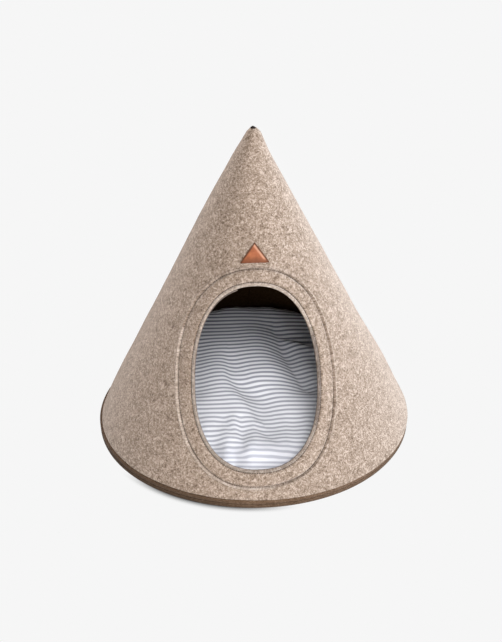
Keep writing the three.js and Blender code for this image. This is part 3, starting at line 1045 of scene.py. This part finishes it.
def tickingFinish():
    # white cotton with woven stripes; painted light pales the stripes towards the front, and painted shade
    # darkens the white along the front edge
    look = ticking
    material, tree, shader = newMaterial("cotton_ticking", look["roughness"])
    place = flatPlace(tree)
    turned = addNode(tree, "Mapping", {"Vector": place, "Rotation": (0, 0, math.radians(look["turn"]))})
    back = addNode(tree, "SeparateXYZ", {0: turned.outputs[0]}).outputs[1]
    away = mathNode(tree, "PINGPONG", mathNode(tree, "SUBTRACT", back, look["centre"]), look["pitch"] / 2)
    fromStripe = {"Value": away, "From Min": look["darkHalf"] - look["soft"],
                  "From Max": look["darkHalf"] + look["soft"]}
    share = addNode(tree, "MapRange", fromStripe, interpolation_type="SMOOTHSTEP").outputs[0]
    # painted light: the stripes are paler towards the brightly lit front and darker towards the shaded back
    paleLit = {"Value": back, "From Min": look["paleLitFrom"], "From Max": look["paleLitTo"]}
    paleLit = addNode(tree, "MapRange", paleLit).outputs[0]
    stripe = mixColour(tree, paleLit, look["stripe"], look["paleLitStripe"])
    # painted shade: the white is darker along the pad's front edge
    front = softBand(tree, back, look["frontFrom"], look["frontTo"])
    white = mixColour(tree, front, look["white"], look["shadedFrontWhite"])
    colour = mixColour(tree, share, stripe, white)
    slub = noiseNode(tree, place, Scale=look["slubScale"], Detail=3)
    slubShare = mathNode(tree, "MULTIPLY", slub, look["slubShare"])
    colour = mixColour(tree, slubShare, colour, look["slubTone"], "MULTIPLY")
    height = slub
    for threads in ("X", "Y"):
        weave = {"Vector": place, "Scale": look["weaveScale"], "Distortion": look["weaveWobble"]}
        weave = addNode(tree, "TexWave", weave, bands_direction=threads).outputs["Fac"]
        height = mathNode(tree, "ADD", height, weave)
    dress(tree, shader, colour, height, look["bump"], look["bumpDepth"], look["gloss"])
    shader.inputs["Sheen Weight"].default_value = look["sheen"]
    return material


leatherLook = dict(
    roughness=0.5, cloudScale=120, grainScale=1100, wander=0.0012, bump=0.25, bumpDepth=0.0003, gloss=0.15,
    clouds=[(0.3, (0.17, 0.045, 0.014)), (0.5, (0.235, 0.068, 0.024)), (0.72, (0.30, 0.098, 0.038))],
    footClear=0.013, footFull=0.001, footShare=0.75, footTone=(0.085, 0.025, 0.009, 1),
    # a painted highlight along the right side, where the leather catches the light from the right
    glintClear=0.0065, glintFull=0.0035, glintShare=0.8, glintTone=(0.40, 0.20, 0.125, 1),
    glintUpFrom=0.002, glintUpTo=0.008,    # heights above the foot
    burnClear=0.0034, burnFull=0.0014, burnTone=(0.075, 0.025, 0.009, 1),
)


def leatherFinish():
    # waxed tan leather: burnt side edges, darker towards its foot, and a painted highlight along its right
    # side
    look = leatherLook
    material, tree, shader = newMaterial("tan_leather", look["roughness"])
    place = flatPlace(tree)
    parts = addNode(tree, "SeparateXYZ", {0: place})
    slope = leather["width"] / 2 / leather["height"]
    across = mathNode(tree, "SUBTRACT", parts.outputs[0], leather["across"])
    up = mathNode(tree, "ADD", parts.outputs[1], leather["foot"])
    side = mathNode(tree, "MULTIPLY", mathNode(tree, "SUBTRACT", leather["height"], up), slope)
    fromLeft, fromRight = (
        mathNode(tree, "MULTIPLY", mathNode(tree, operation, side, across), 1 / math.hypot(1, slope))
        for operation in ("ADD", "SUBTRACT"))
    cloud = noiseNode(tree, place, Scale=look["cloudScale"], Detail=3)
    wander = mathNode(tree, "MULTIPLY", mathNode(tree, "SUBTRACT", cloud, 0.5), look["wander"])
    colour = ramp(tree, cloud, look["clouds"])
    low = softBand(tree, mathNode(tree, "ADD", up, wander), look["footClear"], look["footFull"])
    colour = mixColour(tree, mathNode(tree, "MULTIPLY", low, look["footShare"]), colour, look["footTone"])
    # painted highlight along the right side
    glint = softBand(tree, fromRight, look["glintClear"], look["glintFull"])
    glint = mathNode(tree, "MULTIPLY", glint, look["glintShare"])
    aboveFoot = mathNode(tree, "SUBTRACT", 1.0, softBand(tree, up, look["glintUpTo"], look["glintUpFrom"]))
    colour = mixColour(tree, mathNode(tree, "MULTIPLY", glint, aboveFoot), colour, look["glintTone"])
    edge = mathNode(tree, "ADD", mathNode(tree, "MINIMUM", fromLeft, fromRight), wander)
    burnt = softBand(tree, edge, look["burnClear"], look["burnFull"])
    colour = mixColour(tree, burnt, colour, look["burnTone"])
    grain = addNode(tree, "TexVoronoi", {"Vector": place, "Scale": look["grainScale"]},
                    feature="DISTANCE_TO_EDGE").outputs["Distance"]
    dress(tree, shader, colour, grain, look["bump"], look["bumpDepth"], look["gloss"])
    return material


def threadFinish():
    material, tree, shader = newMaterial("brown_thread", 0.6)
    twist = noiseNode(tree, objectPlace(tree), Scale=900, Detail=2)
    colour = ramp(tree, twist, [(0.3, (0.03, 0.02, 0.014)), (0.7, (0.07, 0.048, 0.034))])
    dress(tree, shader, colour, twist, strength=0.4, depth=0.0002, gloss=0.1)
    return material


beigeFelt = feltFinish("beige_melange_felt", (0.216, 0.161, 0.123), contrast=1.3, sheen=0.2)
litTopFelt = feltFinish("door_edge_felt_painted_light", (0.265, 0.212, 0.174), contrast=0.9, sheen=0.25)
highlightFelt = feltFinish("painted_highlight_felt", (0.315, 0.252, 0.206), contrast=0.9, sheen=0.25)
lipFelt = feltFinish("door_lip_felt", (0.185, 0.148, 0.121), contrast=0.9, sheen=0.2)
# a darker copy of the beige felt: painted shade on the lip's right side, the cut faces and the facing
shadedCutFelt = feltFinish("cut_edge_felt_painted_shade", (0.125, 0.098, 0.082), contrast=0.9, sheen=0.0)
# the lining: partly a dark brown felt, partly painted shade inside the cone
liningAndShadeFelt = feltFinish("dark_lining_felt_and_painted_shade", (0.027, 0.014, 0.006), contrast=0.7, sheen=0.0)
hemFelt = feltFinish("brown_felt", (0.092, 0.054, 0.031), contrast=0.9, sheen=0.04, solid=True)
# the base is the hem's brown felt made darker: painted shade towards the floor
shadedBaseFelt = feltFinish("base_brown_felt_painted_shade", (0.071, 0.042, 0.024), contrast=0.9, sheen=0.04, solid=True)
tipFelt = feltFinish("dark_tip_felt", (0.02, 0.016, 0.015), contrast=0.8, sheen=0.0, solid=True)
thread = threadFinish()

wallFelts = [beigeFelt, liningAndShadeFelt, litTopFelt, shadedCutFelt, lipFelt, highlightFelt]
finishPiece(wallPiece, wallFelts, "beige_felt", "cone_wall")
# the facing takes the darker copy of the felt: painted shade
finishPiece(facingPiece, [shadedCutFelt], "beige_felt", "door_facing")
finishPiece(basePiece, [shadedBaseFelt], "brown_felt", "base_disc")
finishPiece(hemPiece, [hemFelt], "brown_felt", "hem_ring")
finishPiece(padPiece, [tickingFinish()], "ticking", "cushion")
finishPiece(labelPiece, [leatherFinish()], "tan_leather", "label")
finishPiece(tipPiece, [tipFelt], "brown_felt", "apex_tip")
for one in threadPieces:
    finishPiece(one, [thread], "brown_felt")

print("finishes on")


# Pale floor and soft studio light

studio = dict(
    floorSize=24, floorTone=0.922, ambient=0.02, backdrop=0.922, aimHeight=0.15,
    contact=0.011, contactDark=0.42, contactClear=0.98,    # metres, then the darkest and clear occlusion
    # the painted contact shadow falls towards the front-left and behind
    shadowWay=(-0.342, -0.94, 0), frontFrom=0.214, frontTo=0.254, frontDepth=0.88,
    behindFrom=0.04, behindTo=0.14, behindDepth=0.6,
)
plainLamp = dict(distance=2.4, size=1.2, tint=(1, 1, 1))    # metres
lamps = [    # azimuth from the door towards +X and elevation, in degrees
    dict(name="key", azimuth=15, elevation=40, power=37),
    dict(name="high", azimuth=0, elevation=55, power=24),
    dict(name="low", azimuth=0, elevation=25, power=10.6),
    dict(name="lowLeft", azimuth=-18, elevation=-4, power=2.2, distance=0.8, size=0.3),
    dict(name="frontRight", azimuth=45, elevation=10, power=19),
    dict(name="side", azimuth=80, elevation=10, power=74, tint=(0.82, 0.905, 1)),
    dict(name="rimRight", azimuth=140, elevation=25, power=62),
    dict(name="rimLeft", azimuth=-140, elevation=25, power=62, tint=(1, 0.89, 0.81)),
]


def addFloor():
    # a floor that glows evenly, with a painted contact shadow where the base nearly touches it
    bpy.ops.object.select_all(action="DESELECT")
    bpy.ops.mesh.primitive_plane_add(size=studio["floorSize"])
    floor = bpy.context.object
    floor.name = "floor"
    material, tree, _ = newMaterial("pale_floor", 0.9)
    place = objectPlace(tree)
    front = addNode(tree, "VectorMath", {0: place, 1: studio["shadowWay"]}, operation="DOT_PRODUCT")
    behind = addNode(tree, "SeparateXYZ", {0: place}).outputs[1]
    depths = []
    for side, value in (("front", front.outputs["Value"]), ("behind", behind)):
        inner = softBand(tree, value, studio[side + "To"], studio[side + "From"])
        depth = mathNode(tree, "SUBTRACT", 1.0, inner)
        depths.append(mathNode(tree, "MULTIPLY", depth, studio[side + "Depth"]))
    near = addNode(tree, "AmbientOcclusion", {"Distance": studio["contact"]}, samples=16).outputs["AO"]
    clear = {"Value": near, "From Min": studio["contactDark"], "From Max": studio["contactClear"]}
    near = mathNode(tree, "SUBTRACT", 1.0, addNode(tree, "MapRange", clear).outputs[0])
    shade = mathNode(tree, "MULTIPLY", mathNode(tree, "MAXIMUM", *depths), near)
    light = mathNode(tree, "MULTIPLY", mathNode(tree, "SUBTRACT", 1.0, shade), studio["floorTone"])
    glow = addNode(tree, "Emission", {"Strength": light})
    tree.links.new(glow.outputs[0], tree.nodes["Material Output"].inputs[0])
    floor.data.materials.append(material)


def addLamps():
    aim = Vector((0, 0, studio["aimHeight"]))
    for lampRow in lamps:
        row = {**plainLamp, **lampRow}
        way = wayTo(row["azimuth"], row["elevation"])
        bpy.ops.object.light_add(type="AREA", location=aim + way * row["distance"],
                                 rotation=way.to_track_quat("Z", "Y").to_euler())
        lamp = bpy.context.object
        lamp.name = row["name"]
        lamp.data.shape = "DISK"
        lamp.data.size = row["size"]
        lamp.data.energy = row["power"]
        lamp.data.color = row["tint"]


def addWorld():
    world = bpy.data.worlds.new("studio")
    bpy.context.scene.world = world
    world.use_nodes = True
    tree = world.node_tree
    soft = tree.nodes["Background"]
    soft.inputs["Color"].default_value = (1, 1, 1, 1)
    soft.inputs["Strength"].default_value = studio["ambient"]
    seen = addNode(tree, "Background", {"Color": (1, 1, 1, 1), "Strength": studio["backdrop"]})
    path = addNode(tree, "LightPath", {}).outputs["Is Camera Ray"]
    mix = addNode(tree, "MixShader", {0: path, 1: soft.outputs[0], 2: seen.outputs[0]})
    tree.links.new(mix.outputs[0], tree.nodes["World Output"].inputs[0])


addFloor()
addLamps()
addWorld()
bpy.context.scene.view_settings.view_transform = "Standard"
print("studio set")
